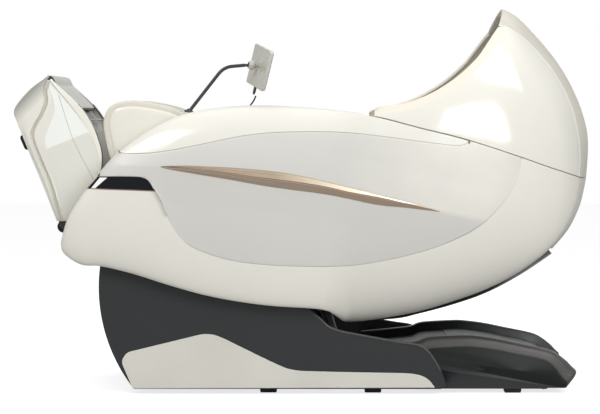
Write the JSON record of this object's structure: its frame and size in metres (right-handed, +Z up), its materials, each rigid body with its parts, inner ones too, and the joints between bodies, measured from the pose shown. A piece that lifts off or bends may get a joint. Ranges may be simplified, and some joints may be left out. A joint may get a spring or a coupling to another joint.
{
  "type": "massage chair",
  "caption": "Reclining massage chair with a cocoon body, a head hood, a sliding leg rest with foot wells, a floor base and a tablet on a bent arm.",
  "frame": {"origin": "on the floor under the middle of the overall box", "axes": "+X towards the head end, along the length; +Y towards the right hand of a person who sits in it; +Z up"},
  "size_m": [1.8735, 0.8094, 1.243],
  "materials": {
    "pearl_shell": "gloss pearl",
    "grey_panel": "satin",
    "satin_black": "satin",
    "cream_trim": "satin",
    "black_frame": "powder coat",
    "steel": "zinc plated",
    "cream_leather": "soft",
    "dark_leather": "soft",
    "dark_lining": "woven",
    "bronze": "metallic",
    "black_gloss": "gloss",
    "rubber": "matt",
    "dark_plastic": "satin",
    "roller_plastic": "satin"
  },
  "bodies": {
    "base": {"base_frame": "black_frame", "base_front_cover": "satin_black", "base_side_covers": "satin_black", "base_trims": "cream_trim", "base_deck_cover": "satin_black", "deck_lid": "satin_black", "base_feet": "rubber", "wheel_axle": "steel", "power_panel": "dark_plastic", "control_box": "dark_plastic", "air_pump": "dark_plastic"},
    "wheels": {"transport_wheels": "rubber"},
    "rocker": {"power_switch": "dark_plastic"},
    "tilt_motor": {"tilt_motor": "dark_plastic"},
    "tilt_rod": {"tilt_rod": "steel"},
    "seat": {"seat_frame": "steel", "tilt_axle": "steel", "side_shell_left": "pearl_shell", "side_shell_right": "pearl_shell", "shell_liners": "pearl_shell", "nose_caps": "pearl_shell", "side_panel_left": "grey_panel", "side_panel_right": "grey_panel", "armrest_cover_left": "pearl_shell", "armrest_cover_right": "pearl_shell", "accent_blades": "bronze", "badge_plates": "black_gloss", "badge_frames": "bronze", "arm_pads": "cream_leather", "seat_pan": "dark_lining", "seat_cushion": "cream_leather", "belly_cover": "satin_black", "tail_cover": "pearl_shell", "tablet_arm": "dark_plastic", "tablet_cable": "rubber"},
    "back": {"back_frame": "steel", "back_cushion": "cream_leather", "head_pillow": "cream_leather", "shoulder_pads": "cream_leather", "hood_side_left": "pearl_shell", "hood_side_right": "pearl_shell", "hood_band": "pearl_shell", "hood_liner": "dark_lining", "hood_speakers": "dark_plastic"},
    "carriage": {"massage_carriage": "dark_plastic"},
    "kneaders": {"massage_arms": "roller_plastic"},
    "leg": {"leg_frame": "steel", "calf_shell": "pearl_shell", "calf_cushion": "cream_leather"},
    "foot": {"foot_shell": "pearl_shell", "foot_sides": "pearl_shell", "foot_trim": "bronze", "foot_cushion": "dark_leather", "heel_axle": "steel", "foot_bumpers": "rubber"},
    "sole_rollers": {"sole_rollers": "roller_plastic"},
    "heel_rollers": {"heel_rollers": "rubber"},
    "tablet": {"tablet_case": "pearl_shell", "tablet_screen": "black_gloss", "tablet_plug": "dark_plastic"}
  },
  "joints": [
    {"name": "tilt", "type": "hinge", "parent": "base", "child": "seat", "pos_m": [-0.134, 0, 0.34], "axis": [0, -1, 0], "range_deg": [0, 32]},
    {"name": "carriage_slide", "type": "slide", "parent": "back", "child": "carriage", "axis": [0.891, 0, 0.454], "range_m": [0, 0.3]},
    {"name": "back_raise", "type": "hinge", "parent": "seat", "child": "back", "pos_m": [0.06, 0, 0.462], "axis": [0, -1, 0], "range_deg": [0, 8]},
    {"name": "kneading", "type": "hinge", "parent": "carriage", "child": "kneaders", "pos_m": [0.1723, 0, 0.3958], "axis": [0, 1, 0], "range_deg": [-12, 12]},
    {"name": "leg_lower", "type": "hinge", "parent": "seat", "child": "leg", "pos_m": [-0.52, 0, 0.76], "axis": [0, -1, 0], "range_deg": [0, 20]},
    {"name": "foot_slide", "type": "slide", "parent": "leg", "child": "foot", "axis": [-0.9184, 0, -0.3955], "range_m": [0, 0.1]},
    {"name": "heel_roller_spin", "type": "hinge", "parent": "foot", "child": "heel_rollers", "pos_m": [-0.78483, 0, 0.53053], "axis": [0, 1, 0], "continuous": true},
    {"name": "sole_roller_spin", "type": "hinge", "parent": "foot", "child": "sole_rollers", "pos_m": [-0.85889, 0, 0.75559], "axis": [0, 1, 0], "continuous": true},
    {"name": "wheel_spin", "type": "hinge", "parent": "base", "child": "wheels", "pos_m": [0.775, 0, 0.027], "axis": [0, 1, 0], "continuous": true},
    {"name": "power_rocker", "type": "hinge", "parent": "base", "child": "rocker", "pos_m": [0.67, 0.294, 0.09], "axis": [1, 0, 0], "range_deg": [-8, 8]},
    {"name": "motor_swing", "type": "hinge", "parent": "base", "child": "tilt_motor", "pos_m": [0.068, 0.11, 0.088], "axis": [0, -1, 0], "range_deg": [-0.5, 1]},
    {"name": "rod_stroke", "type": "slide", "parent": "tilt_motor", "child": "tilt_rod", "axis": [-0.3194, 0, 0.9476], "range_m": [0, 0.064]},
    {"name": "tablet_tilt", "type": "hinge", "parent": "seat", "child": "tablet", "pos_m": [-0.17, -0.288, 1.052], "axis": [0, 1, 0], "range_deg": [-15, 15], "deforming": ["tablet_cable"]}
  ],
  "couplings": [
    {"joint": "motor_swing", "follows": "tilt", "ratio": 0.015},
    {"joint": "rod_stroke", "follows": "tilt", "m_per_rad": 0.1112}
  ]
}
